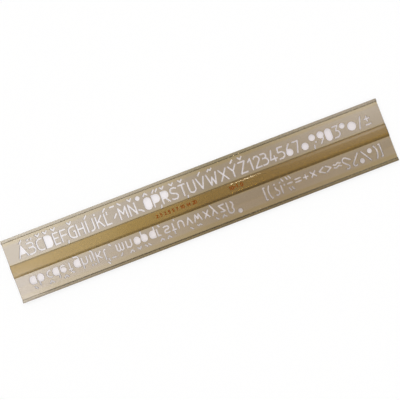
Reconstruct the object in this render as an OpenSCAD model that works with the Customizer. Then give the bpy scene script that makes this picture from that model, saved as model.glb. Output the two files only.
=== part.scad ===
// Lettering stencil for technical pens, 10 mm letters.
// A thin clear sheet carries two rows of pen slots. A spine and two edge rails, each made as a
// strip on the front and a strip on the back, hold the sheet off the paper whichever face is down.
// X runs along the rows, Y up across them, Z out of the front face. The origin lies under the middle.

/* [Lettering] */
// Height of a written capital, pen line included
letter_height = 10; // [9:0.25:14]
// Width of the pen line
pen_line = 1; // [0.7:0.05:1.2]
// Play between the pen tip and the slot
slot_clearance = 0.2; // [0.1:0.05:0.3]

/* [Letter plate] */
// Thickness of the slotted sheet
plate_thickness = 1.2; // [0.8:0.1:2.5]
// Plain sheet left at each end of the rows
end_margin = 9.6; // [4:0.2:30]
// Plain sheet between the spine and the nearest slot
spine_side_margin = 0.5; // [0.3:0.1:6]
// Plain sheet between a rail and the nearest slot
rail_side_margin = 2.1; // [0.5:0.1:8]

/* [Spine] */
// Width of the spine that parts the two rows
spine_width = 10; // [5:0.5:24]
// Rounding of the spine's long outer edges
spine_edge_radius = 0.25; // [0.1:0.05:0.4]

/* [Rails] */
// Width of the rail along each long edge
rail_width = 2.5; // [1.5:0.1:8]
// How far the spine and the rails stand proud of each face of the sheet
runner_height = 0.7; // [0.5:0.1:2]
// Flat land left on a bevelled rail, beside the sheet
rail_land = 0.5; // [0.3:0.1:1.2]
// Height left at the thin edge of a bevelled rail
bevel_foot = 0.15; // [0.1:0.05:0.4]

/* [Hidden] */
$fn = 48;

// Strokes are drawn along the pen's centre line, on a grid where a capital is 9 steps high.
CAPITAL_STEPS = 9;
ROW_STEPS = 299.6;
grid = (letter_height - pen_line) / CAPITAL_STEPS;
slot_width = pen_line + slot_clearance;
cut_overrun = 1;
tuck = 0.004;

// How far each row reaches below its base line, towards the spine, and above it, in grid steps
CAPITAL_DROP = 2.4;
CAPITAL_RISE = 13;
SMALL_DROP = 2.8;
SMALL_RISE = 12;
SMALL_HEIGHT = 5.4;
STEM_HEIGHT = 8.2;

plate_length = ROW_STEPS * grid + slot_width + 2 * end_margin;
upper_window = (CAPITAL_DROP + CAPITAL_RISE) * grid + slot_width + spine_side_margin + rail_side_margin;
lower_window = (SMALL_DROP + SMALL_RISE) * grid + slot_width + spine_side_margin + rail_side_margin;
plate_width = upper_window + lower_window + spine_width + 2 * rail_width;
spine_low = rail_width + lower_window - plate_width / 2;
spine_high = spine_low + spine_width;
plate_low = runner_height;
plate_high = plate_low + plate_thickness;
row_start = -plate_length / 2 + end_margin + slot_width / 2;
capital_base = spine_high + spine_side_margin + slot_width / 2 + CAPITAL_DROP * grid;
small_base = spine_low - spine_side_margin - slot_width / 2 - SMALL_DROP * grid;

// Kinds of stroke: a line through points, an arc, a disc, and an open area with its outline
function line(points) = ["line", points];
function arc(centre, radius, from, to) = ["arc", centre, radius, from, to];
function disc(centre, radius) = ["disc", centre, radius];
function area(points) = ["area", points];

// Shapes that several letters share. The inside of a closed letter falls out, so it is all open.
CARON = [line([[-1.5, 13], [0, 11.3], [1.5, 13]])];
CIRCUMFLEX = [line([[-1.5, 11.3], [0, 13], [1.5, 11.3]])];
ACUTE = [line([[0, 11.1], [2, 13]])];
SMALL_CARON = [line([[-1.5, 9.8], [0, 8.2], [1.5, 9.8]])];
SMALL_CIRCUMFLEX = [line([[-1.5, 8.2], [0, 9.8], [1.5, 8.2]])];
SMALL_ACUTE = [line([[0, 8.3], [1.5, 9.8]])];
QUOTE = [line([[0, 0], [1, 2.1]])];
POINT = [disc([0, 0], 0.2)];

function pill(width, height) = [
    area([[0, width / 2], [width, width / 2], [width, height - width / 2], [0, height - width / 2]]),
    disc([width / 2, width / 2], width / 2),
    disc([width / 2, height - width / 2], width / 2)
];
function capital_bowl(width, low, radius) = [
    area([
        [0, low], [width - radius, low], [width, low + radius],
        [width, CAPITAL_STEPS - radius], [width - radius, CAPITAL_STEPS], [0, CAPITAL_STEPS]
    ]),
    disc([width - radius, low + radius], radius),
    disc([width - radius, CAPITAL_STEPS - radius], radius)
];
function small_bowl(radius) = [
    area([
        [0, radius], [radius, 0], [2 * radius, 0], [2 * radius, SMALL_HEIGHT],
        [radius, SMALL_HEIGHT], [0, SMALL_HEIGHT - radius]
    ]),
    disc([radius, radius], radius),
    disc([radius, SMALL_HEIGHT - radius], radius)
];
function arch(left, radius) = [
    arc([left + radius, SMALL_HEIGHT - radius], radius, 0, 180),
    line([[left + 2 * radius, SMALL_HEIGHT - radius], [left + 2 * radius, 0]])
];
function double_bend(width) = let (upper = 1.9, lower = 2.6) [
    line([[0, CAPITAL_STEPS], [width - lower, CAPITAL_STEPS]]),
    arc([width - lower, CAPITAL_STEPS - upper], upper, -90, 90),
    line([[0.8, 2 * lower], [width - lower, 2 * lower]]),
    arc([width - lower, lower], lower, -90, 90),
    line([[0, 0], [width - lower, 0]])
];

// Each row lists [place along the row, height above its base line, strokes]
CAPITALS = [
    [0, 0, [line([[0, 0], [3.6, 9], [7.2, 0]]), area([[1.1, 2.7], [6.1, 2.7], [3.6, 9]])]],
    [3.3, 0, ACUTE],
    [8.6, 0, double_bend(5.5)],
    [9.8, 11.2, [line([[0, 0], [0.6, 0.6]])]],
    [12.9, 11.2, [line([[0, 0], [0.6, 0.6]])]],
    [16.2, 0, [
        line([[4.8, 9], [3.2, 9]]), arc([3.2, 5.8], 3.2, 90, 180), line([[0, 5.8], [0, 3.2]]),
        arc([3.2, 3.2], 3.2, 180, 270), line([[3.2, 0], [4.8, 0]])
    ]],
    [19, 0, CARON],
    [23.2, 0, capital_bowl(5.2, 0, 2.6)],
    [25.4, 0, CARON],
    [30.5, 0, [line([[4, 9], [0, 9], [0, 0], [4, 0]]), line([[0, 4.8], [3.5, 4.8]])]],
    [32.3, 0, CARON],
    [36.7, 0, [line([[0, 0], [0, 9], [4.3, 9]]), line([[0, 4.8], [4.3, 4.8]])]],
    [40.7, -2.3, [line([[0, 0], [0.5, 1.6]])]],
    [43.5, 0, [
        line([[5, 9], [3.4, 9]]), arc([3.4, 5.6], 3.4, 90, 180), line([[0, 5.6], [0, 3.4]]),
        arc([3.4, 3.4], 3.4, 180, 270), line([[3.4, 0], [5, 0], [5, 4.9], [3.9, 4.9]])
    ]],
    [46, 0, CARON],
    [50.8, 0, [line([[0, 0], [0, 9]]), line([[5, 0], [5, 9]]), line([[0, 4.8], [5, 4.8]])]],
    [58.6, 0, [line([[0, 0], [0, 9]])]],
    [58.6, 0, ACUTE],
    [61.2, 0, [line([[3.1, 9], [3.1, 2.2]]), arc([0.9, 2.2], 2.2, -90, 0), line([[0.9, 0], [0, 0]])]],
    [67, 0, [line([[0, 0], [0, 9]]), line([[4.9, 9], [0, 3.6]]), line([[1.8, 5.6], [5, 0]])]],
    [67, 11.3, POINT],
    [74.3, 0, [line([[0, 9], [0, 0], [3.9, 0]])]],
    [74.5, 0, ACUTE],
    [76.8, 8, [line([[0, 0], [0, 1.8]])]],
    [80.9, 12.3, [line([[0, 0], [3.1, 0]])]],
    [81.7, 3.2, [line([[0, 0], [2.3, 2.5]])]],
    [87.5, 0, [line([[0, 13], [1.9, 11.2]])]],
    [86.5, 0, [line([[0, 0], [0, 9], [2.9, 3.8], [5.8, 9], [5.8, 0]])]],
    [94.9, 0, [line([[0, 0], [0, 9], [5.2, 0], [5.2, 9]])]],
    [97.4, 0, CARON],
    [102, 0, [line([[0, 2.2], [1.9, 1.5], [3.6, 0]])]],
    [104, 11.2, [disc([0, 0], 1.25)]],
    [108, 0, pill(5.2, 9)],
    [110.6, 0, CIRCUMFLEX],
    [115.2, 0, concat(capital_bowl(5.4, 3.2, 2.6), [line([[0, 0], [0, 4]])])],
    [116.5, 0, [line([[0, 11.2], [1.7, 13]])]],
    [119.4, 0, [line([[0, 11.2], [1.7, 13]])]],
    [119.8, -2.4, [line([[0, 0], [0.6, 1.7]])]],
    [122.7, 0, concat(capital_bowl(5.3, 3.7, 2.5), [line([[0, 0], [0, 4]]), line([[2.2, 4], [5.4, 0]])])],
    [125, 0, CARON],
    [130.5, 0, [
        line([[2.1, 9], [3.9, 8.9], [4.9, 8.3]]), arc([2.1, 6.9], 2.1, 90, 249),
        line([[1.35, 4.94], [3.65, 4.06]]), arc([2.9, 2.1], 2.1, -90, 69),
        line([[2.9, 0], [1.1, 0.1], [0, 0.7]])
    ]],
    [133, 0, CARON],
    [138, 0, [line([[0, 9], [5, 9]]), line([[2.5, 0], [2.5, 9]])]],
    [140.6, 0, CARON],
    [142.6, -2.4, [line([[0, 0], [0.3, 1.3]])]],
    [145.5, 0, [
        line([[0, 9], [0, 2.6]]), arc([2.6, 2.6], 2.6, 180, 360), line([[5.2, 2.6], [5.2, 9]])
    ]],
    [153, 0, [line([[0, 9], [3.1, 0], [6.2, 9]])]],
    [155.5, 0, ACUTE],
    [161.5, 0, [line([[0, 9], [2.2, 0], [4, 6], [5.8, 0], [8, 9]])]],
    [163.8, 0, [line([[0, 11.4], [1, 12.7], [2.6, 11.7], [3.6, 12.9]])]],
    [172.1, 0, [line([[0, 9], [5.9, 0]]), line([[0, 0], [5.9, 9]])]],
    [180.2, 0, [line([[0, 9], [3.1, 4.6], [6.2, 9]]), line([[3.1, 4.6], [3.1, 0]])]],
    [183.2, 0, ACUTE],
    [189, 0, [line([[0, 9], [5.2, 9], [0.2, 0], [5.4, 0]])]],
    [191.6, 0, CARON],
    [196.7, 0, [line([[0, 6.9], [2.2, 9], [2.2, 0]])]],
    [201.5, 0, [arc([2.3, 6.7], 2.3, -35, 155), line([[4.18, 5.38], [0, 0], [4.9, 0]])]],
    [207.9, 0, double_bend(4.7)],
    [214.5, 0, [line([[2.4, 9], [0, 1.9], [5.4, 1.9]]), line([[3.7, 4], [3.7, 0]])]],
    [221.9, 0, [
        line([[4.3, 9], [0.2, 9], [0, 5.3], [2, 5.3]]), arc([2, 2.65], 2.65, -90, 90),
        line([[2, 0], [0, 0]])
    ]],
    [228.6, 0, [disc([2.3, 2.3], 2.3), line([[0.2, 3], [1.1, 6], [3.4, 9]])]],
    [235.3, 0, [line([[0, 9], [4.4, 9], [1.6, 0]])]],
    [244, 2.35, [disc([0, 0], 2.35)]],
    [251.3, 7, [disc([0, 0], 2.1)]],
    [253.4, 2.5, POINT],
    [251, -2, [line([[0, 0], [0.5, 2.5]])]],
    [256.1, 0, [disc([2.3, 6.7], 2.3), line([[4.4, 6], [3.5, 3], [1.2, 0]])]],
    [262.5, 0, pill(4.6, 9)],
    [269.2, 0, [
        line([[0, 9], [4.3, 9], [2, 5.3]]), arc([2, 2.65], 2.65, -90, 90), line([[2, 0], [0, 0]])
    ]],
    [277.1, 7.3, [disc([0, 0], 1.7)]],
    [284.5, 4.3, [disc([0, 0], 3.05)]],
    [290.1, 0, [line([[0, 0], [2.8, 9]])]],
    [295.6, 0, [line([[0, 0.9], [4, 0.9]]), line([[0, 5.6], [4, 5.6]]), line([[2, 3.6], [2, 7.6]])]]
];
SMALLS = [
    [1.1, 0, small_bowl(2.2)],
    [3.2, 0, SMALL_ACUTE],
    [7.6, 0, concat(pill(4.4, SMALL_HEIGHT), [line([[0.5, 3], [0.5, STEM_HEIGHT]])])],
    [15.5, 0, [arc([2.7, 2.7], 2.7, 90, 270), line([[2.7, 5.4], [3.2, 5.4]]), line([[2.7, 0], [3.2, 0]])]],
    [17.1, 0, SMALL_CARON],
    [20.6, 0, concat(small_bowl(2.05), [line([[4.1, 3], [4.1, STEM_HEIGHT]])])],
    [27, 0, [
        disc([2.1, 3.7], 1.7), line([[0.2, 4.3], [0, 3.4], [0, 2]]),
        arc([2, 2], 2, 180, 300), line([[3, 0.27], [3.6, 0.6]])
    ]],
    [29.6, 0, SMALL_CARON],
    [33.4, 0, [line([[1.3, 0], [1.3, 6.2]]), arc([3.2, 6.2], 1.9, 90, 180), line([[0, 5.2], [2.8, 5.2]])]],
    [38.6, 0, concat(small_bowl(2.2), [
        line([[4.4, 3], [4.4, -1]]), arc([2.6, -1], 1.8, -90, 0), line([[2.6, -2.8], [0.8, -2.8]])
    ])],
    [45.3, 0, concat(arch(0, 2.05), [line([[0, 0], [0, STEM_HEIGHT]])])],
    [52.3, 0, [line([[0, 0], [0, SMALL_HEIGHT]])]],
    [52.3, STEM_HEIGHT, POINT],
    [54.9, 0, [line([[0, SMALL_HEIGHT], [0, -1.6]]), arc([-1.2, -1.6], 1.2, -90, 0)]],
    [54.9, STEM_HEIGHT, POINT],
    [57.5, 0, [line([[0, 0], [0, STEM_HEIGHT]]), line([[3.9, 0], [1.4, 3]]), line([[0, 2], [3.7, 5.4]])]],
    [64.1, 0, [line([[0, STEM_HEIGHT], [0, 1.4]]), arc([1.4, 1.4], 1.4, 180, 270)]],
    [66.1, STEM_HEIGHT, [line([[0, 0], [0.6, 1.6]])]],
    [64.6, 10.6, [line([[0, 0], [1.2, 1.4]])]],
    [69.7, -2.4, [line([[0, 0], [1, 1.1]])]],
    [69.2, 8.5, [line([[0, 0], [2.8, 0]])]],
    [74.8, 0, concat(arch(0, 1.35), arch(2.7, 1.35), [line([[0, 0], [0, SMALL_HEIGHT - 1.35]])])],
    [76.4, 0, [line([[0, 9.5], [1.4, 7.9]])]],
    [83.1, 0, concat(arch(0, 2), [line([[0, 0], [0, SMALL_HEIGHT]])])],
    [85.7, 0, SMALL_CARON],
    [90, 0, pill(4.2, SMALL_HEIGHT)],
    [92, 0, SMALL_CIRCUMFLEX],
    [96, 0, concat(pill(4.4, SMALL_HEIGHT), [line([[0.5, 2.4], [0.5, -SMALL_DROP]])])],
    [97, 0, SMALL_ACUTE],
    [99.8, 0, SMALL_ACUTE],
    [103.1, 0, concat(small_bowl(2.15), [line([[4.3, 3], [4.3, -SMALL_DROP]])])],
    [109.4, 0, [line([[0, 0], [0, SMALL_HEIGHT]]), arc([2, 3.4], 2, 90, 180)]],
    [111.4, 0, SMALL_CARON],
    [111.5, -2.8, [line([[0, 0], [0.7, 1.3]])]],
    [115.4, 0, [
        line([[3.9, 5.1], [2.9, 5.4], [1.35, 5.4]]), arc([1.35, 4.05], 1.35, 90, 250),
        line([[0.89, 2.78], [3.01, 2.62]]), arc([2.55, 1.35], 1.35, -90, 70),
        line([[2.55, 0], [1, 0], [0, 0.3]])
    ]],
    [117.4, 0, SMALL_CARON],
    [121.7, 0, [line([[1.2, 0], [1.2, STEM_HEIGHT]]), line([[0, 5.2], [3, 5.2]])]],
    [124.7, -2.6, [line([[0, 0], [0.3, 0.5]])]],
    [127.2, 0, [
        line([[0, SMALL_HEIGHT], [0, 2.1]]), arc([2.1, 2.1], 2.1, 180, 360),
        line([[4.2, 2.1], [4.2, SMALL_HEIGHT]])
    ]],
    [134.2, 0, [line([[0, 5.4], [2.1, 0], [4.2, 5.4]])]],
    [135.8, 0, SMALL_ACUTE],
    [140.7, 0, [line([[0, 5.4], [1.5, 0], [2.9, 3.6], [4.3, 0], [5.8, 5.4]])]],
    [141.6, 0, [line([[0, 8.1], [0.9, 9], [2.4, 8.2], [3.3, 9.1]])]],
    [149.2, 0, [line([[0, 0], [3.9, 5.4]]), line([[3.9, 0], [0, 5.4]])]],
    [155.7, 0, [line([[0, -2.8], [4, 5.4]]), line([[0, 5.4], [2.1, 1.5]])]],
    [157.6, 0, SMALL_ACUTE],
    [162.3, 0, [line([[0.4, 5.4], [3.9, 5.4], [0, 0], [4.2, 0]])]],
    [164.3, 0, SMALL_CARON],
    [168.8, 0, [
        line([[0, 0], [0, 6.8]]), arc([2.2, 6.8], 2.2, 0, 180),
        line([[4.4, 6.8], [3.6, 5], [4.7, 3.2], [4.7, 1.4], [3.5, 0.1]])
    ]],
    [177.7, 9.6, [disc([0, 0], 1.25)]],
    [200.4, 0, [line([[1, -0.4], [0, -0.4], [0, 9.4], [1, 9.4]])]],
    [203.8, 0, [arc([9, 4.5], 9, 146, 214)]],
    [207.9, 0, [
        line([[1.9, 2.4], [2.2, 4.2], [4.02, 6.1]]), arc([2.3, 6.9], 1.9, -25, 130)
    ]],
    [209.8, 0, POINT],
    [214.6, 0, [line([[0, 2.6], [0, 8.6]])]],
    [214.6, 0, POINT],
    [216.5, -2.2, QUOTE],
    [217.6, 2.9, POINT],
    [220.3, -2.4, QUOTE],
    [222.9, -2.4, QUOTE],
    [220.3, 3.1, [line([[0, 0], [3.8, 0]])]],
    [220.4, 6.6, QUOTE],
    [223, 6.6, QUOTE],
    [226.9, 0, [line([[0, 2], [4.4, 2]])]],
    [226.9, 0, [line([[0, 4.4], [4.4, 4.4]])]],
    [233.9, 0, [line([[0, 3.2], [3.6, 3.2]]), line([[1.8, 1.4], [1.8, 5]])]],
    [240.2, 0, [line([[0, 1.1], [3.9, 5.3]]), line([[0, 5.3], [3.9, 1.1]])]],
    [247.2, 0, [line([[4.1, 0.8], [0, 3.2], [4.1, 5.6]])]],
    [253.2, 0, [line([[0, 0.8], [4.1, 3.2], [0, 5.6]])]],
    [259.6, 0, [line([[0, 2.1], [1.6, 2.8], [3.7, 1.6], [5.8, 2.5]])]],
    [259.6, 0, [line([[0, 4.7], [1.7, 5.2], [3.8, 4], [5.9, 4.9]])]],
    [267, 0, [
        line([[6.8, 2.8], [3.55, 0.38]]), arc([2.5, 2.2], 2.1, 140, 300),
        line([[0.89, 3.55], [4.33, 6.67]]), arc([3.1, 7.7], 1.6, -40, 130)
    ]],
    [274.8, 0, [line([[6, 0], [0.77, 6.47]]), arc([2, 7.5], 1.6, 45, 220)]],
    [282.6, 7.2, [disc([0, 0], 1.5)]],
    [284, 0, [line([[0, 0.2], [5.5, 9]])]],
    [290.6, 1.7, [disc([0, 0], 1.4)]],
    [296.2, 0, [arc([-9, 4.5], 9, -34, 34)]],
    [298.6, 0, [line([[0, -0.4], [1, -0.4], [1, 9.4], [0, 9.4]])]]
];

// The sides of a slot run a hair inside its round ends, so that the two cross at clean corners
module straight_sides(points) {
    side_width = slot_width - 2 * tuck;
    for (i = [1 : len(points) - 1])
        let (run = (points[i] - points[i - 1]) * grid)
            translate(points[i - 1] * grid) rotate(atan2(run.y, run.x)) translate([0, -side_width / 2])
                square([norm(run), side_width]);
}

module round_ends(points) {
    for (point = points) translate(point * grid) circle(d = slot_width);
}

// Curved slot with round ends. The wedge that trims the ring reaches well past its outer edge.
module arc_slot(centre, radius, from, to) {
    wedge_steps = 4;
    run = radius * grid;
    reach = 2 * (run + slot_width);
    translate(centre * grid) intersection() {
        difference() {
            circle(r = run + slot_width / 2 - tuck);
            circle(r = run - slot_width / 2 + tuck);
        }
        polygon([
            [0, 0],
            for (i = [0 : wedge_steps])
                let (angle = from + (to - from) * i / wedge_steps) reach * [cos(angle), sin(angle)]
        ]);
    }
    round_ends([for (angle = [from, to]) centre + radius * [cos(angle), sin(angle)]]);
}

module stroke(shape) {
    kind = shape[0];
    if (kind == "line" || kind == "area") round_ends(shape[1]);
    if (kind == "line") straight_sides(shape[1]);
    if (kind == "area") {
        polygon(shape[1] * grid);
        straight_sides(concat(shape[1], [shape[1][0]]));
    }
    if (kind == "arc") arc_slot(shape[1], shape[2], shape[3], shape[4]);
    if (kind == "disc") translate(shape[1] * grid) circle(r = shape[2] * grid + slot_width / 2);
}

// One cutter for each entry of a row, right through the sheet
module row_slots(row) {
    for (entry = row)
        translate([entry[0] * grid, entry[1] * grid, plate_low - cut_overrun])
            linear_extrude(plate_thickness + 2 * cut_overrun)
                for (shape = entry[2]) stroke(shape);
}

module letter_plate() {
    color([0.78, 0.70, 0.58, 0.6])
    difference() {
        translate([-plate_length / 2, -plate_width / 2, plate_low])
            cube([plate_length, plate_width, plate_thickness]);
        translate([row_start, capital_base, 0]) row_slots(CAPITALS);
        translate([row_start, small_base, 0]) mirror([0, 1, 0]) row_slots(SMALLS);
    }
}

// Carries an outline drawn across the strip, as [across, height], along the whole length
module strip() {
    translate([-plate_length / 2, 0, 0]) rotate([90, 0, 90]) linear_extrude(plate_length) children();
}

// Places a front strip's outline on the back face by a half turn about the plate's own long axis
module on_back() {
    translate([0, 0, plate_low + plate_high]) mirror([0, 0, 1]) children();
}

module spine_strip() {
    strip() translate([spine_low, plate_high]) {
        square([spine_width, runner_height - spine_edge_radius]);
        translate([spine_edge_radius, 0]) square([spine_width - 2 * spine_edge_radius, runner_height]);
        for (across = [spine_edge_radius, spine_width - spine_edge_radius])
            translate([across, runner_height - spine_edge_radius]) circle(r = spine_edge_radius);
    }
}

// Rail outlines run from the inner edge, beside the sheet, at 0 to the outer edge at rail_width
module bevelled_outline() {
    polygon([
        [0, 0], [rail_width, 0], [rail_width, bevel_foot], [rail_land, runner_height], [0, runner_height]
    ]);
}

module square_outline() {
    square([rail_width, runner_height]);
}

module rail_strip(side) {
    strip() translate([side * (plate_width / 2 - rail_width), plate_high])
        scale([side, 1, 1]) children();
}

module spine_front() {
    color([0.64, 0.55, 0.36, 0.7]) spine_strip();
}

module spine_back() {
    color([0.62, 0.53, 0.34, 0.7]) on_back() spine_strip();
}

module upper_rail_front() {
    color([0.70, 0.66, 0.60, 0.7]) rail_strip(1) bevelled_outline();
}

module upper_rail_back() {
    color([0.66, 0.60, 0.50, 0.7]) on_back() rail_strip(1) square_outline();
}

module lower_rail_front() {
    color([0.60, 0.54, 0.40, 0.7]) rail_strip(-1) square_outline();
}

module lower_rail_back() {
    color([0.55, 0.49, 0.36, 0.7]) on_back() rail_strip(-1) bevelled_outline();
}

letter_plate();
spine_front();
spine_back();
upper_rail_front();
upper_rail_back();
lower_rail_front();
lower_rail_back();
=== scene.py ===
"""Looks of a clear amber lettering stencil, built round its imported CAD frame. Lengths are in
metres.

The stencil is a slotted sheet with a spine and two edge rails on each face. Every piece is clear
plastic, so each is a closed shell with rounded edges, and the faces that are bonded together don't
refract. X runs along the stencil, the capitals are on the side of positive Y, and the reader of the
photograph is on the other side.
"""

import math

import bpy
import numpy as np
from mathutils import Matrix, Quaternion, Vector
from mathutils.geometry import delaunay_2d_cdt


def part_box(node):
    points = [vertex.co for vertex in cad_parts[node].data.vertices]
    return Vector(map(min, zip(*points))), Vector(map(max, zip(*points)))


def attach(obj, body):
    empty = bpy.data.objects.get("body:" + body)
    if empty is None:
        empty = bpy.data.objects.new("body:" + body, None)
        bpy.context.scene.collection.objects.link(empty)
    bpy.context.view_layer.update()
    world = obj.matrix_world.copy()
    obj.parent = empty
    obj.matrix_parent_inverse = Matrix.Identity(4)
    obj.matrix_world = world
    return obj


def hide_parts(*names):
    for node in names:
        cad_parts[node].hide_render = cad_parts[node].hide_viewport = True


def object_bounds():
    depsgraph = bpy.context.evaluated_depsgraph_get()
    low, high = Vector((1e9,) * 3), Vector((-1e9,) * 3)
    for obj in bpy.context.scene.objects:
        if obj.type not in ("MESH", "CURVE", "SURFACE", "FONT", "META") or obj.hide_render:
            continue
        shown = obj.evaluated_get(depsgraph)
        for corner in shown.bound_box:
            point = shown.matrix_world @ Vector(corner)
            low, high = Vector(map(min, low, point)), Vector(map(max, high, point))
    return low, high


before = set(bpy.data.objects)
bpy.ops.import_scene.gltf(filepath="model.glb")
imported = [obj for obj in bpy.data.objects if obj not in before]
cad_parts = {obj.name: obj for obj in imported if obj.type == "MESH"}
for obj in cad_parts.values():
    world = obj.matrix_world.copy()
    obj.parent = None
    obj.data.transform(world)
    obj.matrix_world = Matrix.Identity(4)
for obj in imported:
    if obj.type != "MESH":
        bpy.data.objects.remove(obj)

cad_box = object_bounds()

MM = 0.001
WHITE = (1, 1, 1, 1)
BLACK = (0, 0, 0, 1)

# How the photograph was taken: straight down, with the stencil lying turned on white paper. The
# sensor's width is in millimetres, as Blender has it.
PHOTO_SIDE = 400
PIXEL = 0.7966 * MM
TURN = math.radians(20.896)
STENCIL_COLUMN = 198.95
STENCIL_ROW = 200.36
CAMERA_HEIGHT = 0.55
SENSOR = 36.0
CLIP_START = 10 * MM

# The sheet's edges, and the wide lead-in that each slot has on the face its row is read from. A
# lead-in takes no more than these shares of the room that the slot's corners leave, and of the gap
# to the next slot.
EDGE = 0.08 * MM
LEAD_IN = 0.3 * MM
CORNER_SHARE = 0.9
GAP_SHARE = 0.42
SHORTEST_SIDE = 0.02 * MM
MITRE_LIMIT = 4

# The strips' edges, as half axes across and up, and the fillets at their feet. Bonded faces are
# kept this far apart, so that no two faces lie in one place.
END_EDGE = 0.05 * MM
SPINE_EDGE = (3.0 * MM, 0.3 * MM)
SPINE_FOOT = 0.38 * MM
RAIL_EDGE = (0.35 * MM, 0.25 * MM)
RAIL_OUTER_EDGE = (0.1 * MM, 0.1 * MM)
RAIL_FOOT = 0.3 * MM
BOND_GAP = 0.004 * MM

# Facts of the CAD's bevelled rails that their boxes don't give
BEVELLED = ("upper_rail_front", "lower_rail_back")
BEVEL_FOOT = 0.15 * MM

# Faces that meet at less than this angle are shaded as one, and a face is level from this normal Z
# on
SMOOTH_BELOW = math.radians(40)
LEVEL_FROM = 0.999

# Points count as one when they agree to this many decimals of a metre. The flats are filled to
# this tolerance, and nothing is divided by less than the least divisor.
SAME_TO = 7
FILL_TOLERANCE = 1e-10
LEAST_DIVISOR = 1e-9

# The plastic's tints. The pale ones are a painted lighter tint for the lit left end, and the deep
# ones are the plastic over the rest. The rim tints paint light and shade at the walls: the sheet's
# cream rim is painted light in its slots, and the dark ones are painted shade.
SHEET_PALE = (0.545, 0.47, 0.32)
SHEET_DEEP = (0.455, 0.37, 0.193)
SHEET_RIM = (0.9, 0.76, 0.54)
SHEET_RIM_SHADE = (0.03, 0.018, 0.024)
SPINE_PALE = (0.39, 0.27, 0.075)
SPINE_DEEP = (0.312, 0.198, 0.04)
SPINE_RIM = (0.15, 0.095, 0.02)
UPPER_RAIL_PALE = (0.475, 0.42, 0.31)
LOWER_RAIL_PALE = (0.4, 0.345, 0.22)
RAIL_DEEP = (0.335, 0.28, 0.142)
RAIL_RIM = (0.06, 0.045, 0.01)

# Where the painted lighter tint of the lit left end gives way to the deep one along X, later by
# this share of Y so that the painted shade's edge runs aslant, and where along X and Y the upper
# right is painted paler again as painted light, by a share for each kind of piece
PALE_AT = -76 * MM
DEEP_AT = 6 * MM
DEEPENS_ASLANT = 0.8
PALES_AGAIN = (40 * MM, 130 * MM)
PALES_UPWARDS = (-50 * MM, 26 * MM)
RAILS_PALE_AGAIN = 0.85
SHEET_PALES_AGAIN = 0.12

# A painted highlight: the plastic is painted paler in a glow at the lower left corner, by its steps
# along X and Y
PAINTED_GLOW_ALONG = (-128 * MM, -157 * MM)
PAINTED_GLOW_ACROSS = (3 * MM, -12 * MM)
PAINTED_GLOW = 0.14

# The rows between the strips, greyer and bluer in the plastic, as [lowest Y, highest Y, how much]
GREYER_ROWS = ((5.4 * MM, 21.8 * MM, 0.12), (-14.6 * MM, -5.8 * MM, 0.11))
GREYER_ROW_EDGE = 1.5 * MM
GREYER_ROW_TINT = (0.25, 0.31, 0.64)

# The band of the lower row's accents along Y: painted deeper shade on the paper there, and clearer
# plastic over it so that the panel keeps its tone
MARKS_BAND = (-21 * MM, -19.4 * MM, -15 * MM, -13.4 * MM)
MARKS_SHADE = 0.16
MARKS_CLEAR = (0.98, 0.89, 0.88)

# Painted shade in lines along the strips' edges: each line's Y, how far it spreads, where along X
# it begins, and how deep it is at the left end, in the middle and at the right end
STRIP_SHADE_LINES = (
    (24.05 * MM, 0.65 * MM, -162 * MM, 0.35, 0.5, 0.4),
    (4.75 * MM, 0.85 * MM, -162 * MM, 0.58, 0.5, 0.36),
    (-4.62 * MM, 1.4 * MM, -162 * MM, 0.48, 0.78, 0.5),
    (-24.25 * MM, 0.85 * MM, -147 * MM, 0.8, 1.0, 0.5),
    (-25.75 * MM, 0.8 * MM, -162 * MM, 0.6, 0.5, 0.5),
)
STRIP_SHADE_BEGINS_OVER = 10 * MM
STRIP_SHADE_LEFT = (-160 * MM, 0)
STRIP_SHADE_RIGHT = (60 * MM, 120 * MM)
STRIP_SHADE_TINT = (0.07, 0.037, 0.0)

# A face counts as a rim by its normal's squared Z, and takes a painted shade by its normal's X, on
# those that face right. The lower row's accents are painted in shade all round.
STEEP_FROM = 0.86
STEEP_TO = 0.5
RIM_SHADE_FROM = -0.3
RIM_SHADE_TO = 0.5
RIM_SHADED_BELOW = (-14 * MM, -15.5 * MM)
RIM_SHADED_SHARE = 0.8

# The plastic's gloss: clouds in its tint, fine handling scratches three ways, and a faint orange
# peel
PLASTIC_IOR = 1.49
CLOUD_SCALE = 22
CLOUD_IN_TINT = 0.3
CLOUD_IN_RIM_SHADE = 0.6
SCRATCH_SCALE = 900
SCRATCH_STRETCH = (1, 0.02, 1)
SCRATCH_TURNS = (0.12, 1.45, 2.3)
SCRATCH_POWER = 6
SCRATCH_ROUGHNESS = 0.2
GLOSS_ROUGHNESS = 0.03
PEEL_SCALE = 160
PEEL_SHARE = 0.4
BUMP_STRENGTH = 0.25
SHEET_WAVE = 0.02 * MM
SPINE_WAVE = 0.002 * MM

# How rough the ink and the paper are, with the ink rougher in its worn specks, and how faintly
# both shine
INK_ROUGHNESS = 0.45
SPECK_ROUGHNESS = 0.3
PAPER_ROUGHNESS = 0.9
FAINT_SHINE = 0.1

# The paper: how much of it is plain white outside the stencil's shade, and inside it at the left
# and the right
PAPER_TOOTH = (0.8, 0.8, 0.8, 1)
TOOTH_SCALE = 1800
TOOTH_SHARE = 0.04
OPEN_FILL = 0.75
PALE_FILL = 0.7
DEEP_FILL = 0.42

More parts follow.
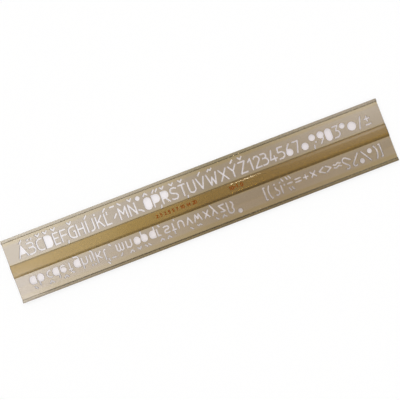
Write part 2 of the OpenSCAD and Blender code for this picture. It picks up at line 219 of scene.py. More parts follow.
# The stencil's soft shade on the paper: its fading edge, its reach past both ends, its tints, and
# the steps along X and Y in which it deepens to the right and towards the reader and turns warmer
SHADE_EDGE = 0.3 * MM
END_SHADE = 0.15 * MM
SHADE_PALE = (0.97, 0.94, 0.96)
SHADE_DEEP = (0.765, 0.69, 0.695)
SHADE_WARM = (0.75, 0.666, 0.64)
SHADE_DEEPENS = (-100 * MM, 60 * MM)
SHADE_WARMS = (4 * MM, -6 * MM)
SHADE_TO_READER = 0.38
READER_STEPS = (12 * MM, -12 * MM)
READER_ENDS = (70 * MM, 150 * MM)
READER_ENDS_SHARE = 0.9

# The floor is a sheet of paper this far each way, a hair under the runners
FLOOR_REACH = 3.0
FLOOR_DROP = 0.05 * MM

# The sky and its windows. Each window has four steps across and four along north: where it starts,
# where it is full, where it starts to end and where it has ended. Then comes how bright it is. The
# side windows' steps across are the places, in metres from the middle of the view, where a level
# mirror would show them.
SKY_LEVEL = 0.7
SKY_NORTH = 0.4
SKY_HORIZON = (-0.05, 0.1)
LEFT_WINDOW = ((0.06, 0.151, 0.18, 0.3), (-0.3, -0.1, 0.6, 0.75), 2.4)
RIGHT_WINDOW = ((0.05, 0.144, 0.17, 0.3), (-0.02, 0.05, 0.12, 0.35), 3.2)
FAR_WINDOW = ((-0.8, -0.4, 0.3, 0.6), (0.2, 0.48, 0.55, 0.8), 0.8)

# The small warm lamp that glints on the spine's edge
LAMP_PLACE = (0.11, 0.138, 1.0)
LAMP_SIZE = (0.085, 0.05)
LAMP_TWIST = math.radians(20)
LAMP_ENERGY = 0.2
LAMP_COLOUR = (1.0, 0.85, 0.6)

# The plain numbers printed on the spine: the piece, its text, where it starts along X, how high the
# figures are, how far apart they start, and how wide the printed line is
PRINT_ROWS = (
    ("height_list_print", "2.5 3.5 5 7 10 14 20", -36.6 * MM, 2.3 * MM, 1.72 * MM, 0.7 * MM),
    ("own_height_print", "10-1.0", 25.6 * MM, 2.6 * MM, 1.95 * MM, 0.75 * MM),
)
PRINT_UP = 0.7 * MM
INK = (0.2, 0.042, 0.003, 1)
INK_WORN = (0.27, 0.075, 0.006, 1)
INK_SPECK_SCALE = 2600

# A printed line's section, as [across, up], and its thickness. Lines take four thicknesses in turn,
# so that no two that cross share a face, and a straight line reaches past its ends by this share of
# its width.
INK_SECTION = ((-0.5, 0), (0.5, 0), (0.36, 1), (-0.36, 1))
PRINT_THICKNESS = 0.015 * MM
PRINT_STEP = 0.001 * MM
PRINT_LAYERS = 4
STROKE_PAST = 0.3

# Each figure as strokes in a box 0.6 wide and 1 high: a list of points, or an arc as (centre,
# radius, from, to)
FIGURES = {
    "0": [
        ("arc", (0.3, 0.7), 0.3, 0, 180), [(0, 0.7), (0, 0.3)],
        ("arc", (0.3, 0.3), 0.3, 180, 360), [(0.6, 0.3), (0.6, 0.7)],
    ],
    "1": [[(0.12, 0.78), (0.36, 1), (0.36, 0)]],
    "2": [("arc", (0.3, 0.7), 0.3, 160, -38), [(0.536, 0.515), (0, 0)], [(0, 0), (0.6, 0)]],
    "3": [("arc", (0.29, 0.74), 0.26, 150, -90), ("arc", (0.29, 0.26), 0.26, 90, -150)],
    "4": [[(0.42, 0), (0.42, 1), (0, 0.3), (0.6, 0.3)]],
    "5": [[(0.55, 1), (0.1, 1), (0.06, 0.56)], ("arc", (0.27, 0.32), 0.32, 130, -140)],
    "7": [[(0, 1), (0.58, 1), (0.2, 0)]],
    ".": [[(0.27, 0), (0.33, 0)]],
    "-": [[(0.05, 0.45), (0.55, 0.45)]],
}


def make_camera():
    """A camera over the middle of the photograph, rolled so that the stencil lies turned in the
    frame."""
    right = Vector((math.cos(TURN), -math.sin(TURN), 0))
    up = Vector((math.sin(TURN), math.cos(TURN), 0))
    middle = (PHOTO_SIDE - 1) / 2
    aim = right * (middle - STENCIL_COLUMN) * PIXEL + up * (STENCIL_ROW - middle) * PIXEL
    camera = bpy.data.objects.new("camera", bpy.data.cameras.new("camera"))
    bpy.context.scene.collection.objects.link(camera)
    bpy.context.scene.camera = camera
    sheet_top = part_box("letter_plate")[1].z
    camera.location = aim + Vector((0, 0, sheet_top + CAMERA_HEIGHT))
    camera.rotation_euler = (0, 0, -TURN)
    camera.data.sensor_width = SENSOR
    camera.data.lens = SENSOR * CAMERA_HEIGHT / (PHOTO_SIDE * PIXEL)
    camera.data.clip_start = CLIP_START


class Signal:
    """A socket's output in a node tree. Sums, products and powers of signals add Math nodes."""

    def __init__(self, finish, socket):
        self.finish = finish
        self.socket = socket

    def _math(self, operation, first, second):
        return self.finish.node("ShaderNodeMath", {"operation": operation}, {0: first, 1: second})

    def __add__(self, other):
        return self._math("ADD", self, other)

    def __radd__(self, other):
        return self._math("ADD", other, self)

    def __sub__(self, other):
        return self._math("SUBTRACT", self, other)

    def __rsub__(self, other):
        return self._math("SUBTRACT", other, self)

    def __mul__(self, other):
        return self._math("MULTIPLY", self, other)

    def __rmul__(self, other):
        return self._math("MULTIPLY", other, self)

    def __pow__(self, other):
        return self._math("POWER", self, other)


class Finish:
    """A material or the world, with the node tree that is being written for it."""

    def __init__(self, owner):
        owner.use_nodes = True
        self.owner = owner
        self.tree = owner.node_tree
        self.tree.nodes.clear()

    def node(self, kind, settings=None, inputs=None, output=0):
        """Adds one node. Its settings go first, and then its sockets' values or links. The
        signal is one output, by its name or number."""
        made = self.tree.nodes.new(kind)
        for name, value in (settings or {}).items():
            setattr(made, name, value)
        for name, value in (inputs or {}).items():
            if isinstance(value, Signal):
                self.tree.links.new(value.socket, made.inputs[name])
            else:
                made.inputs[name].default_value = value
        return Signal(self, made.outputs[output]) if len(made.outputs) else made

    def ramp(self, value, start, end):
        """From 0 where the value is at the start to 1 where it is at the end, and level beyond
        both."""
        return self.node("ShaderNodeMapRange", None, {
            "Value": value, "From Min": start, "From Max": end, "To Min": 0.0, "To Max": 1.0,
        })

    def hill(self, value, foot, crest, far_crest, far_foot):
        """From 0 at the foot up to 1 at the crest, level as far as the far crest, and down to 0 at
        the far foot."""
        return self.ramp(value, foot, crest) * self.ramp(value, far_foot, far_crest)

    def axes(self, place):
        """The X, Y and Z of a vector signal."""
        split = self.node("ShaderNodeSeparateXYZ", None, {"Vector": place})
        return [Signal(self, socket) for socket in split.socket.node.outputs]

    def noise(self, place, scale, detail=2.0, stretch=(1, 1, 1), turn=0.0):
        """A noise from 0 to 1, stretched along its own axes after a turn about Z."""
        turned = self.node("ShaderNodeMapping", None, {
            "Vector": place, "Rotation": (0, 0, turn), "Scale": stretch,
        })
        return self.node("ShaderNodeTexNoise", None, {
            "Vector": turned, "Scale": scale, "Detail": detail,
        })

    def mix(self, factor, first, second):
        """A colour between two colours. The node's sockets go by number, because it has the same
        names once for each kind of value."""
        sockets = {0: factor, 6: first, 7: second}
        return self.node("ShaderNodeMix", {"data_type": "RGBA"}, sockets, output=2)


def clear_tint(finish, x, y, cloud, pale, deep, pales_again):
    """The plastic's colour with painted light in it: painted paler at the lit left end and deep
    from the middle on, paler again at the upper right, paler in a painted glow at one corner,
    clearer along the lower row's accents over their painted shade, and greyer and bluer along both
    rows."""
    # Painted light: paler at the lit left end and the upper right, and the deep tint's edge runs
    # aslant
    again = finish.ramp(x, *PALES_AGAIN) * finish.ramp(y, *PALES_UPWARDS) * pales_again
    deepness = finish.ramp(x - y * DEEPENS_ASLANT, PALE_AT, DEEP_AT) - again
    tint = finish.mix(deepness + (cloud - 0.5) * CLOUD_IN_TINT, (*pale, 1), (*deep, 1))
    # Painted highlight: a paler glow in the lower left corner
    painted_glow = finish.ramp(x, *PAINTED_GLOW_ALONG) * finish.ramp(y, *PAINTED_GLOW_ACROSS)
    tint = finish.mix(painted_glow * PAINTED_GLOW, tint, WHITE)
    # Clearer plastic over the painted shade that the paper has along the accents
    tint = finish.mix(finish.hill(y, *MARKS_BAND) * MARKS_SHADE, tint, (*MARKS_CLEAR, 1))
    for low, high, share in GREYER_ROWS:
        greyer = finish.hill(y, low, low + GREYER_ROW_EDGE, high - GREYER_ROW_EDGE, high)
        tint = finish.mix(greyer * share, tint, (*GREYER_ROW_TINT, 1))
    return tint


def strip_shade_depth(finish, x, y):
    """How deep the painted shade lines along the strips' edges are, as the sum over all the lines.
    """
    depth = 0.0
    for line, spread, begin, left, middle, right in STRIP_SHADE_LINES:
        to_the_middle = finish.ramp(x, *STRIP_SHADE_LEFT) * (middle - left)
        to_the_right = finish.ramp(x, *STRIP_SHADE_RIGHT) * (right - middle)
        strength = to_the_middle + to_the_right + left
        strength = strength * finish.ramp(x, begin, begin + STRIP_SHADE_BEGINS_OVER)
        depth = depth + finish.hill(y, line - spread, line, line, line + spread) * strength
    return depth


def clear_amber(name, pale, deep, rim, rim_shade, wave, pales_again=0.0):
    """Clear tinted plastic, painted paler towards the lit left end, with fine handling scratches
    and a faint orange peel. Rims, where a face turns away from level, have their own tint, which
    paints the light and shade at the walls, with painted shade on those that face right, and
    painted shade lines run along the strips' edges. Each crossing of a face tints by the root of
    the colour."""
    finish = Finish(bpy.data.materials.new(name))
    place = finish.node("ShaderNodeTexCoord", output="Object")
    facing, _, upright = finish.axes(finish.node("ShaderNodeTexCoord", output="Normal"))
    x, y, _ = finish.axes(place)
    cloud = finish.noise(place, CLOUD_SCALE, detail=3)
    tint = clear_tint(finish, x, y, cloud, pale, deep, pales_again)
    # Painted shade in lines along the strips' edges
    strip_shaded = finish.mix(strip_shade_depth(finish, x, y), tint, (*STRIP_SHADE_TINT, 1))
    # Painted shade on rims that face right, and all round the lower row's accents
    all_round = finish.ramp(y, *RIM_SHADED_BELOW) * RIM_SHADED_SHARE
    rim_shaded = finish.ramp(facing + (cloud - 0.5) * CLOUD_IN_RIM_SHADE + all_round, RIM_SHADE_FROM, RIM_SHADE_TO)
    steep = finish.ramp(upright * upright, STEEP_FROM, STEEP_TO)
    # The rim tints paint the light and shade seen at the walls
    colour = finish.mix(steep, strip_shaded, finish.mix(rim_shaded, (*rim, 1), (*rim_shade, 1)))
    first, second, third = (
        finish.noise(place, SCRATCH_SCALE, 1, SCRATCH_STRETCH, turn) ** SCRATCH_POWER
        for turn in SCRATCH_TURNS
    )
    marks = first + second + third
    bump = finish.node("ShaderNodeBump", None, {
        "Strength": BUMP_STRENGTH, "Distance": wave,
        "Height": marks + finish.noise(place, PEEL_SCALE, detail=1) * PEEL_SHARE,
    })
    shader = finish.node("ShaderNodeBsdfPrincipled", None, {
        "Base Color": colour, "Roughness": marks * SCRATCH_ROUGHNESS + GLOSS_ROUGHNESS,
        "Normal": bump, "IOR": PLASTIC_IOR, "Transmission Weight": 1.0,
    })
    finish.node("ShaderNodeOutputMaterial", None, {"Surface": shader})
    return finish.owner


def clear_bond(name):
    """The welded face between a strip and the sheet. The plastic is the same on both sides, so
    nothing bends."""
    finish = Finish(bpy.data.materials.new(name))
    shader = finish.node("ShaderNodeBsdfPrincipled", None, {
        "Base Color": WHITE, "Roughness": 0.0, "IOR": 1.0, "Transmission Weight": 1.0,
    })
    finish.node("ShaderNodeOutputMaterial", None, {"Surface": shader})
    return finish.owner


def print_ink(name, colour, worn):
    """Flat ink, worn thin in specks."""
    finish = Finish(bpy.data.materials.new(name))
    place = finish.node("ShaderNodeTexCoord", output="Object")
    speck = finish.noise(place, INK_SPECK_SCALE, detail=3)
    shader = finish.node("ShaderNodeBsdfPrincipled", None, {
        "Base Color": finish.mix(speck, colour, worn),
        "Roughness": speck * SPECK_ROUGHNESS + INK_ROUGHNESS,
        "Specular IOR Level": FAINT_SHINE,
    })
    finish.node("ShaderNodeOutputMaterial", None, {"Surface": shader})
    return finish.owner


def paper(name):
    """White paper with a faint tooth, part of it plain to the camera, to reflections and through
    plastic. Under the stencil it is in a soft shade that deepens to the right and towards the
    reader."""
    finish = Finish(bpy.data.materials.new(name))
    place = finish.node("ShaderNodeTexCoord", output="Object")
    x, y, _ = finish.axes(place)
    low, high = cad_box
    left, right = low[0] - END_SHADE, high[0] + END_SHADE
    along = finish.hill(x, left - SHADE_EDGE, left, right, right + SHADE_EDGE)
    under = along * finish.hill(y, low[1] - SHADE_EDGE, low[1], high[1], high[1] + SHADE_EDGE)
    ends = finish.ramp(x, *READER_ENDS) * READER_ENDS_SHARE
    to_the_reader = finish.ramp(y, *READER_STEPS) * (1 - ends)
    deep = finish.ramp(x, *SHADE_DEEPENS) * (1 - SHADE_TO_READER) + to_the_reader * SHADE_TO_READER
    deepest = finish.mix(finish.ramp(y, *SHADE_WARMS), (*SHADE_DEEP, 1), (*SHADE_WARM, 1))
    shade = finish.mix(deep, (*SHADE_PALE, 1), deepest)
    # Painted deeper shade on the paper along the lower row's accents
    marked = finish.mix(finish.hill(y, *MARKS_BAND) * MARKS_SHADE, shade, BLACK)
    colour = finish.mix(under, WHITE, marked)
    tooth = finish.noise(place, TOOTH_SCALE)
    sheet = finish.node("ShaderNodeBsdfPrincipled", None, {
        "Base Color": finish.mix(tooth * TOOTH_SHARE, colour, PAPER_TOOTH),
        "Roughness": PAPER_ROUGHNESS, "Specular IOR Level": FAINT_SHINE,
    })
    white = finish.node("ShaderNodeEmission", None, {"Color": colour, "Strength": 1.0})
    rays = ("Is Camera Ray", "Is Glossy Ray", "Is Transmission Ray")
    camera, glossy, through = [finish.node("ShaderNodeLightPath", output=ray) for ray in rays]
    inside_fill = finish.ramp(x, DEEP_AT, PALE_AT) * (PALE_FILL - DEEP_FILL) + DEEP_FILL
    fill = under * (inside_fill - OPEN_FILL) + OPEN_FILL
    seen = camera + glossy + through
    mixed = finish.node("ShaderNodeMixShader", None, {0: seen * fill, 1: sheet, 2: white})
    finish.node("ShaderNodeOutputMaterial", None, {"Surface": mixed})
    return finish.owner


def mesh_from(name, points, face_groups, bonded=None, normals=None):
    """A mesh from one array of points and arrays of faces, one for each count of corners. The faces
    that the test finds bonded, by their middles and ways up, wear the second material. Normals, if
    any, are given for each corner of each face."""
    corners = np.concatenate([np.ravel(group) for group in face_groups])
    counts = np.concatenate([np.full(len(group), group.shape[1]) for group in face_groups])
    mesh = bpy.data.meshes.new(name)
    mesh.vertices.add(len(points))
    mesh.vertices.foreach_set("co", np.ravel(points).astype(np.float32))
    mesh.loops.add(len(corners))
    mesh.loops.foreach_set("vertex_index", corners.astype(np.int32))
    mesh.polygons.add(len(counts))
    mesh.polygons.foreach_set("loop_start", (np.cumsum(counts) - counts).astype(np.int32))
    mesh.update(calc_edges=True)
    if bonded:
        middles = np.concatenate([points[group].mean(1) for group in face_groups])
        facing = np.empty(len(counts) * 3, np.float32)
        mesh.polygons.foreach_get("normal", facing)
        wears = bonded(middles, facing.reshape(-1, 3)[:, 2]).astype(np.int32)
        mesh.polygons.foreach_set("material_index", wears)
    assert not mesh.validate()
    if normals is not None:
        mesh.shade_smooth()
        mesh.normals_split_custom_set(normals)
    return mesh


def add_piece(name, mesh, materials, nodes=()):
    """Puts a mesh in the scene as a piece that rides on the stencil and stands for the named CAD
    nodes."""
    for material in materials:
        mesh.materials.append(material)
    piece = bpy.data.objects.new(name, mesh)
    bpy.context.scene.collection.objects.link(piece)
    if not mesh.has_custom_normals:
        mesh.shade_smooth()
        mesh.set_sharp_from_angle(angle=SMOOTH_BELOW)
        weigh = piece.modifiers.new("flats_stay_flat", "WEIGHTED_NORMAL")
        weigh.mode = "FACE_AREA"
        weigh.weight = 100
        weigh.keep_sharp = True
    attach(piece, "root")
    if nodes:
        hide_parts(*nodes)
    return piece


def band_faces(rings, around):
    """Quads between neighbouring rings of a closed outline, ring after ring in one array of
    points."""
    ring, step = np.meshgrid(np.arange(rings - 1), np.arange(around), indexing="ij")
    after = (step + 1) % around
    here, beyond = ring * around, (ring + 1) * around
    quads = [here + step, beyond + step, beyond + after, here + after]
    return np.stack(quads, -1).reshape(-1, 4)


def cycles(follow):
    """The closed rounds of an array that gives what follows each number, each round from its least
    number on. Every pass doubles how far each number looks ahead: first for the least number in its
    round, and then for how many steps away that is."""
    numbers = np.arange(len(follow))
    passes = range(len(follow).bit_length())
    least, ahead = numbers, follow
    for _ in passes:
        least, ahead = np.minimum(least, least[ahead]), ahead[ahead]
    first = least == numbers
    steps, ahead = np.where(first, 0, 1), np.where(first, numbers, follow)
    for _ in passes:
        steps, ahead = steps + steps[ahead], ahead[ahead]
    order = np.lexsort((-steps, ~first, least))
    return np.split(order, np.flatnonzero(first[order])[1:])


def front_outlines(node):
    """The closed outlines on the front face of a CAD node, the sheet's edge first and then each
    slot. They are the rounds of the edges that just one front triangle uses, without their shortest
    sides."""
    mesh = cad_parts[node].data
    points = np.empty(len(mesh.vertices) * 3, np.float32)
    mesh.vertices.foreach_get("co", points)
    mesh.calc_loop_triangles()
    triangles = np.empty(len(mesh.loop_triangles) * 3, np.int32)
    mesh.loop_triangles.foreach_get("vertices", triangles)
    steps_per_metre = 10.0 ** SAME_TO
    places = np.round(points.reshape(-1, 3) * steps_per_metre).astype(np.int64)
    keys, welded = np.unique(places, axis=0, return_inverse=True)
    triangles = welded.ravel()[triangles].reshape(-1, 3)
    front = triangles[(keys[triangles][:, :, 2] == keys[:, 2].max()).all(1)]
    edges = np.concatenate([front[:, [0, 1]], front[:, [1, 2]], front[:, [2, 0]]])
    code = edges[:, 0] * len(keys) + edges[:, 1]
    twin = edges[:, 1] * len(keys) + edges[:, 0]
    rims = edges[~np.isin(code, twin)]
    by_start = np.argsort(rims[:, 0])
    follow = by_start[np.searchsorted(rims[by_start, 0], rims[:, 1])]
    outlines = []
    for rim in cycles(follow):
        outline = keys[rims[rim, 0], :2] / steps_per_metre
        lengths = np.linalg.norm(np.roll(outline, -1, 0) - outline, axis=1)
        outlines.append(outline[lengths > SHORTEST_SIDE])
    return sorted(outlines, key=lambda outline: -np.ptp(outline[:, 0]))


def way_in(outline):
    """For each point of an outline, the way into the plastic on its left: the mean of both sides'
    normals, long enough for both sides to move in by one unit, but at most the mitre limit where
    the corner is sharp."""
    side = np.roll(outline, -1, 0) - outline
    left = np.stack([-side[:, 1], side[:, 0]], 1) / np.linalg.norm(side, axis=1)[:, None]
    both = left + np.roll(left, 1, 0)
    return both / np.maximum((both * left).sum(1), 1 / MITRE_LIMIT)[:, None]


def gap_from(first, second):
    """The least distance from the points of one outline to the sides of another."""
    side = np.roll(second, -1, 0) - second
    reach = first[:, None] - second[None]
    along = np.clip((reach * side).sum(2) / (side ** 2).sum(1), 0, 1)
    return np.linalg.norm(reach - along[..., None] * side, axis=2).min()


def inset_limit(outline):
    """How far an outline can move into the plastic before its first side shrinks to nothing."""
    side = np.roll(outline, -1, 0) - outline
    length = np.linalg.norm(side, axis=1)
    way = way_in(outline)
    shrink = ((way - np.roll(way, -1, 0)) * side).sum(1) / length
    return (length / np.maximum(shrink, LEAST_DIVISOR)).min()


def lead_ins(outlines):
    """How wide each slot's lead-in is. It leaves plastic between slots that are near each other,
    and narrows where a slot's own corners leave little room."""
    widths = np.array([min(LEAD_IN, inset_limit(outline) * CORNER_SHARE) for outline in outlines])
    low = np.array([outline.min(0) for outline in outlines]) - LEAD_IN
    high = np.array([outline.max(0) for outline in outlines]) + LEAD_IN
    for first in range(1, len(outlines)):
        near = ((low < high[first]) & (high > low[first])).all(1)
        for second in np.flatnonzero(near[first + 1:]) + first + 1:
            one, other = outlines[first], outlines[second]
            gap = min(gap_from(one, other), gap_from(other, one))
            widths[[first, second]] = np.minimum(widths[[first, second]], gap * GAP_SHARE)
    return widths


def rim_profile(high, front_radius, low, back_radius, steps=4):
    """Down a slot's wall: a quarter round of the front radius, then one of the back radius. Each is
    a pair of [how far into the plastic, height], with radius * (1 - sin a) in and radius * (1 - cos
    a) down or up. With it come the normals, as [away from the plastic, up]: sin a and cos a, with
    the sign changed on the back."""
    turn = np.linspace(0, math.pi / 2, steps)
    rounding = np.stack([1 - np.sin(turn), 1 - np.cos(turn)], 1)
    front = rounding * front_radius * [1, -1] + [0, high]
    back = rounding[::-1] * back_radius + [0, low]
    away = np.stack([np.sin(turn), np.cos(turn)], 1)
    return np.concatenate([front, back]), np.concatenate([away, away[::-1] * [1, -1]])


def wall_normals(outline, slopes):
    """Normals for the corners of an outline's bands, four for each quad. Level, they point away
    from the plastic on the outline's left, and neighbouring sides share one where they meet at a
    slight angle."""
    side = np.roll(outline, -1, 0) - outline
    away = np.stack([side[:, 1], -side[:, 0]], 1) / np.linalg.norm(side, axis=1)[:, None]
    before = np.roll(away, 1, 0)
    both = away + before
    shared = both / np.maximum(np.linalg.norm(both, axis=1), LEAST_DIVISOR)[:, None]
    smooth = ((away * before).sum(1) > math.cos(SMOOTH_BELOW))[:, None]
    start = np.where(smooth, shared, away)
    end = np.where(np.roll(smooth, -1, 0), np.roll(shared, -1, 0), away)
    corners = []
    above, below = slopes[:-1], slopes[1:]
    for slope, level in ((above, start), (below, start), (below, end), (above, end)):
        flat = slope[:, None, :1] * level[None]
        upright = np.broadcast_to(slope[:, None, 1:], flat.shape[:2] + (1,))
        corners.append(np.concatenate([flat, upright], 2))
    return np.stack(corners, 2).reshape(-1, 3)


def inside(outline, places):
    """Which places lie inside an outline: an odd count of its sides crosses the ray to the
    right."""
    start, end = outline, np.roll(outline, -1, 0)
    across = (start[:, 1] > places[:, 1:]) != (end[:, 1] > places[:, 1:])
    rise = np.where(end[:, 1] == start[:, 1], 1, end[:, 1] - start[:, 1])
    crossing = start[:, 0] + (places[:, 1:] - start[:, 1]) / rise * (end[:, 0] - start[:, 0])
    return (across & (crossing > places[:, :1])).sum(1) % 2 == 1


def fill_between(outlines, seams):
    """Triangles that fill the flat inside the first outline and outside the others: a Delaunay mesh
    of all the points that keeps the outlines as edges, less the triangles whose middle lies in a
    slot. Where a seam crosses a rim, the crossing joins the nearest point."""
    points = np.concatenate(outlines)
    owner = np.repeat(np.arange(len(outlines)), [len(outline) for outline in outlines])
    first = np.searchsorted(owner, owner)
    size = np.bincount(owner)[owner]
    index = np.arange(len(points))
    edges = np.concatenate([np.stack([index, first + (index - first + 1) % size], 1), seams])
    corners = [Vector(point) for point in points.tolist()]
    meshed = delaunay_2d_cdt(corners, edges.tolist(), [], 0, FILL_TOLERANCE)
    places = np.array([tuple(place) for place in meshed[0]])
    original = np.array([
        sources[0] if sources else ((points - place) ** 2).sum(1).argmin()
        for sources, place in zip(meshed[3], places)
    ])
    triangles = original[np.array(meshed[2])]
    keep = (triangles != np.roll(triangles, 1, 1)).all(1)
    alone = (owner[triangles] == owner[triangles][:, :1]).all(1)
    for slot in range(1, len(outlines)):
        own = np.flatnonzero(alone & (owner[triangles[:, 0]] == slot))
        keep[own] &= ~inside(outlines[slot], points[triangles[own]].mean(1))
    return triangles[keep]


def bonded_bands():
    """Where strips are bonded on the sheet, as [lowest Y, highest Y] of each foot."""
    sheet_low, sheet_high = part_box("letter_plate")
    bands = []
    for node in ("upper_rail_front", "spine_front", "lower_rail_front"):
        low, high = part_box(node)
        foot = SPINE_FOOT if node == "spine_front" else RAIL_FOOT
        start = low.y - (foot if low.y - sheet_low.y > EDGE else 0)
        end = high.y + (foot if sheet_high.y - high.y > EDGE else 0)
        bands.append((start, end))
    return bands


def with_seam_ends(outline, bands):
    """The sheet's edge outline with points added where the bonded bands' borders meet its two
    ends."""
    levels = np.ravel(bands)
    here, beyond = outline[:, 1:], np.roll(outline, -1, 0)[:, 1:]
    low, high = np.minimum(here, beyond) + EDGE, np.maximum(here, beyond) - EDGE
    side, level = np.nonzero((levels > low) & (levels < high))
    added = np.stack([outline[side, 0], levels[level]], 1)
    in_turn = np.lexsort((np.abs(added[:, 1] - outline[side, 1]), side))
    return np.insert(outline, side[in_turn] + 1, added[in_turn], axis=0)


def seam_pairs(outline):
    """The pairs of points of the edge outline that lie across from each other, at the same Y on
    both ends."""
    order = np.lexsort((outline[:, 0], np.round(outline[:, 1], SAME_TO)))
    pairs = order.reshape(-1, 2)
    return pairs[1:-1]


def sheet_mesh(node):
    """The slotted sheet. Each outline carries a rim profile down its wall. Slots of the row that is
    read from a face have a wide lead-in on that face, so the lower row's is on the back."""
    outlines = front_outlines(node)
    bands = bonded_bands()
    outlines[0] = with_seam_ends(outlines[0], bands)
    seams = seam_pairs(outlines[0])
    low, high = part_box(node)
    widths = lead_ins(outlines)
    points, groups, normals, fronts, backs = [], [], [], [], []
    count = 0
    for number, outline in enumerate(outlines):
        reads_from_front = outline[:, 1].mean() > 0
        radii = (widths[number], EDGE) if reads_from_front else (EDGE, widths[number])
        if number == 0:
            radii = (EDGE, EDGE)
        profile, slopes = rim_profile(high.z, radii[0], low.z, radii[1])
        flat = outline + way_in(outline) * profile[:, :1, None]
        height = np.broadcast_to(profile[:, 1, None, None], flat.shape[:2] + (1,))
        points.append(np.concatenate([flat, height], 2).reshape(-1, 3))
        groups.append(band_faces(len(profile), len(outline)) + count)
        normals.append(wall_normals(outline, slopes))
        ring = count + np.arange(len(outline))
        fronts.append((flat[0], ring))
        backs.append((flat[-1], ring + (len(profile) - 1) * len(outline)))
        count += len(profile) * len(outline)
    caps = []
    for rims, order, up in ((fronts, (0, 1, 2), 1), (backs, (2, 1, 0), -1)):
        numbers = np.concatenate([own for _, own in rims])
        caps.append(numbers[fill_between([rim for rim, _ in rims], seams)][:, order])
        normals.append(np.tile([0, 0, up], (caps[-1].size, 1)))

    def under_a_strip(middles, upright):
        in_band = [(middles[:, 1] > start) & (middles[:, 1] < end) for start, end in bands]
        return np.any(in_band, 0) & (np.abs(upright) > LEVEL_FROM)

    faces = [np.concatenate(groups), np.concatenate(caps)]
    return mesh_from(node, np.concatenate(points), faces, under_a_strip, np.concatenate(normals))


def strip_side(wall, outward, bond, top, foot, edge, steps=9):
    """One side of a strip's outline, from its foot up, as [Y, Z]. A hollow quarter round of the
    foot's radius, wall + outward * foot * (1 - sin a) and bond + foot * (1 - cos a), meets a
    quarter of an ellipse with the edge's two half axes."""
    turn = np.linspace(0, math.pi / 2, steps)
    wide, high = edge
    rise, run = 1 - np.cos(turn), 1 - np.sin(turn)
    hollow = np.stack([wall + outward * foot * run, bond + foot * rise], 1)
    round_edge = np.stack([wall - outward * wide * rise, top - high * run], 1)
    return np.concatenate([hollow if foot else hollow[:1], round_edge])


def strip_outline(node, low, high, middle):
    """Across a strip, as [Y, Z] and anticlockwise, with the bonded face first. It is drawn for the
    front face, and a strip on the back is its mirror image in the sheet's middle plane."""
    on_back = high.z < middle
    bond = (2 * middle - high.z if on_back else low.z) + BOND_GAP
    top = 2 * middle - low.z if on_back else high.z
    upper = {"wall": high.y, "outward": 1, "bond": bond, "top": top}
    lower = {"wall": low.y, "outward": -1, "bond": bond, "top": top}
    for side in (upper, lower):
        if node.startswith("spine"):
            side.update(foot=SPINE_FOOT, edge=SPINE_EDGE)
        elif abs(side["wall"]) < max(abs(low.y), abs(high.y)):
            side.update(foot=RAIL_FOOT, edge=RAIL_EDGE)
        elif node in BEVELLED:
            side.update(foot=0, edge=RAIL_OUTER_EDGE, top=bond + BEVEL_FOOT)
        else:
            side.update(foot=0, edge=RAIL_OUTER_EDGE)
    outline = np.concatenate([strip_side(**upper), strip_side(**lower)[::-1]])
    if on_back:
        outline = np.stack([outline[:, 0], 2 * middle - outline[:, 1]], 1)[::-1]
    return outline


def strip_mesh(name, outline, start, end, bond, steps=3):
    """A strip along X: its outline in Y and Z carried from end to end. At each end it draws in by
    edge * (1 - sin a) while it stops edge * (1 - cos a) short of the full length."""
    turn = np.linspace(0, math.pi / 2, steps)
    draw_in = END_EDGE * (1 - np.sin(turn))
    short = END_EDGE * (1 - np.cos(turn))
    places = np.concatenate([start + short, (end - short)[::-1]])
    insets = np.concatenate([draw_in, draw_in[::-1]])
    centre = (outline.min(0) + outline.max(0)) / 2
    half = np.ptp(outline, 0) / 2
    section = centre + (outline - centre) * (1 - insets[:, None, None] / half)
    along = np.broadcast_to(places[:, None, None], section.shape[:2] + (1,))
    points = np.concatenate([along, section], 2).reshape(-1, 3)
    around = len(outline)
    last = (len(places) - 1) * around
    first_cap = np.arange(around)[None, ::-1]
    last_cap = last + np.arange(around)[None]

    def on_the_bond(middles, upright):
        return (np.abs(middles[:, 2] - bond) < END_EDGE) & (np.abs(upright) > LEVEL_FROM)

    sides = band_faces(len(places), around)[:, ::-1]
    return mesh_from(name, points, [sides, first_cap, last_cap], on_the_bond)


def make_stencil():
    """All the clear pieces, each in the place of its CAD node."""
    bond = clear_bond("welded_face")
    sheet = clear_amber(
        "sheet_amber", SHEET_PALE, SHEET_DEEP, SHEET_RIM, SHEET_RIM_SHADE, SHEET_WAVE,
        SHEET_PALES_AGAIN,
    )
    spine = clear_amber("spine_amber", SPINE_PALE, SPINE_DEEP, SPINE_RIM, SPINE_RIM, SPINE_WAVE)
    pale_rails = (("upper_rail_amber", UPPER_RAIL_PALE), ("lower_rail_amber", LOWER_RAIL_PALE))
    upper, lower = (
        clear_amber(name, pale, RAIL_DEEP, RAIL_RIM, RAIL_RIM, SHEET_WAVE, RAILS_PALE_AGAIN)
        for name, pale in pale_rails
    )
    add_piece("slotted_sheet", sheet_mesh("letter_plate"), [sheet, bond], ["letter_plate"])
    sheet_low, sheet_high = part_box("letter_plate")
    middle = (sheet_low.z + sheet_high.z) / 2
    for face in ("front", "back"):
        for part, material in (("spine", spine), ("upper_rail", upper), ("lower_rail", lower)):
            node = f"{part}_{face}"
            low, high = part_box(node)
            outline = strip_outline(node, low, high, middle)
            bond_height = low.z if face == "front" else high.z
            mesh = strip_mesh(node, outline, low.x, high.x, bond_height)
            add_piece(f"{node}_strip", mesh, [material, bond], [node])


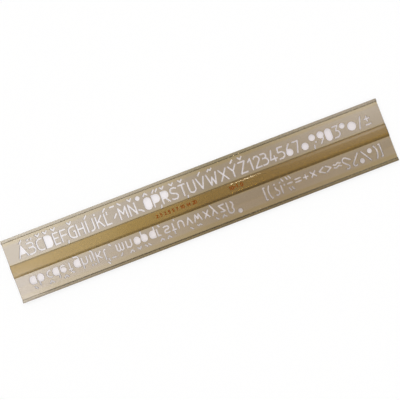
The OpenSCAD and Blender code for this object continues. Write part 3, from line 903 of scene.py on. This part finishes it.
def stroke_runs(stroke, reach, steps=14):
    """The runs of points that draw a stroke: centre + radius * (cos, sin) over an arc, or else one
    run for each straight side, which reaches a little past both of its ends so that the corners
    close."""
    if stroke[0] == "arc":
        _, centre, radius, start, end = stroke
        angle = np.radians(np.linspace(start, end, steps))
        return [np.array(centre) + radius * np.stack([np.cos(angle), np.sin(angle)], 1)]
    runs = []
    for start, end in zip(np.array(stroke, float)[:-1], np.array(stroke, float)[1:]):
        past = (end - start) / np.linalg.norm(end - start) * reach
        runs.append(np.array([start - past, end + past]))
    return runs


def ribbon(points, width, thickness, height):
    """A flat line of ink along points: a low trapezium carried along them, at right angles to the
    mean way."""
    way = np.gradient(points, axis=0)
    across = np.stack([way[:, 1], -way[:, 0]], 1) / np.linalg.norm(way, axis=1)[:, None]
    section = np.array(INK_SECTION)
    flat = points[:, None] + across[:, None] * section[:, :1] * width
    rise = np.broadcast_to(height + section[:, 1:] * thickness, flat.shape[:2] + (1,))
    around = len(section)
    solid = np.concatenate([flat, rise], 2).reshape(-1, 3)
    caps = np.array([np.arange(around), (len(points) - 1) * around + np.arange(around)[::-1]])
    return solid, np.concatenate([band_faces(len(points), around), caps])


def print_mesh(name, text, start, middle, height, figure_height, advance, line):
    """A row of plain figures as ink ribbons, from start along X and centred on middle across the
    spine."""
    solids, faces, count = [], [], 0
    for place, figure in enumerate(text):
        corner = [start + place * advance, middle - figure_height / 2]
        for stroke in FIGURES.get(figure, []):
            for run in stroke_runs(stroke, line / figure_height * STROKE_PAST):
                thickness = PRINT_THICKNESS + len(solids) % PRINT_LAYERS * PRINT_STEP
                solid, own = ribbon(run * figure_height + corner, line, thickness, height)
                solids.append(solid)
                faces.append(own + count)
                count += len(solid)
    return mesh_from(name, np.concatenate(solids), [np.concatenate(faces)])


def make_print():
    """The numbers on the spine. They list the usual letter heights and this stencil's own."""
    ink = print_ink("spine_ink", INK, INK_WORN)
    low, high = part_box("spine_front")
    middle = (low.y + high.y) / 2 + PRINT_UP
    for name, text, start, *sizes in PRINT_ROWS:
        add_piece(name, print_mesh(name, text, start, middle, high.z, *sizes), [ink])


def make_floor():
    """A sheet of white paper that runs well past the view, a hair under the runners."""
    corners = np.array([(-1, -1, 0), (1, -1, 0), (1, 1, 0), (-1, 1, 0)]) * FLOOR_REACH
    corners[:, 2] = cad_box[0][2] - FLOOR_DROP
    mesh = mesh_from("paper", corners, [np.array([[0, 1, 2, 3]])])
    mesh.materials.append(paper("white_paper"))
    floor = bpy.data.objects.new("paper", mesh)
    bpy.context.scene.collection.objects.link(floor)


def make_light():
    """A pale sky with a broad bright window on the left and softer ones ahead and on the right,
    dimmest straight above, and one small warm lamp that glints on the spine's edge."""
    world = bpy.data.worlds.new("studio")
    bpy.context.scene.world = world
    sky = Finish(world)
    east, north, up = sky.axes(sky.node("ShaderNodeTexCoord", output="Generated"))
    west = 0 - east

    def window(way, across, along, brightness):
        return sky.hill(way, *across) * sky.hill(north, *along) * brightness

    def mirrored(across, along, brightness):
        return [math.sin(math.atan2(x, CAMERA_HEIGHT)) for x in across], along, brightness

    left = window(west, *mirrored(*LEFT_WINDOW))
    right = window(east, *mirrored(*RIGHT_WINDOW))
    windows = left + window(east, *FAR_WINDOW) + right
    level = windows * sky.ramp(up, *SKY_HORIZON) + SKY_LEVEL * (1 + north * SKY_NORTH)
    camera_ray = sky.node("ShaderNodeLightPath", output="Is Camera Ray")
    light = sky.node("ShaderNodeBackground", None, {
        "Color": WHITE, "Strength": level + (1 - level) * camera_ray,
    })
    sky.node("ShaderNodeOutputWorld", None, {"Surface": light})
    lamp = bpy.data.objects.new("glint_lamp", bpy.data.lights.new("glint_lamp", "AREA"))
    bpy.context.scene.collection.objects.link(lamp)
    lamp.data.shape = "ELLIPSE"
    lamp.data.size, lamp.data.size_y = LAMP_SIZE
    lamp.data.energy = LAMP_ENERGY
    lamp.data.color = LAMP_COLOUR
    lamp.location = LAMP_PLACE
    aim = (-Vector(lamp.location)).to_track_quat("-Z", "Y")
    lamp.rotation_euler = (aim @ Quaternion((0, 0, 1), LAMP_TWIST)).to_euler()


make_camera()
make_stencil()
make_print()
make_floor()
make_light()

bpy.context.scene.view_settings.view_transform = "Standard"
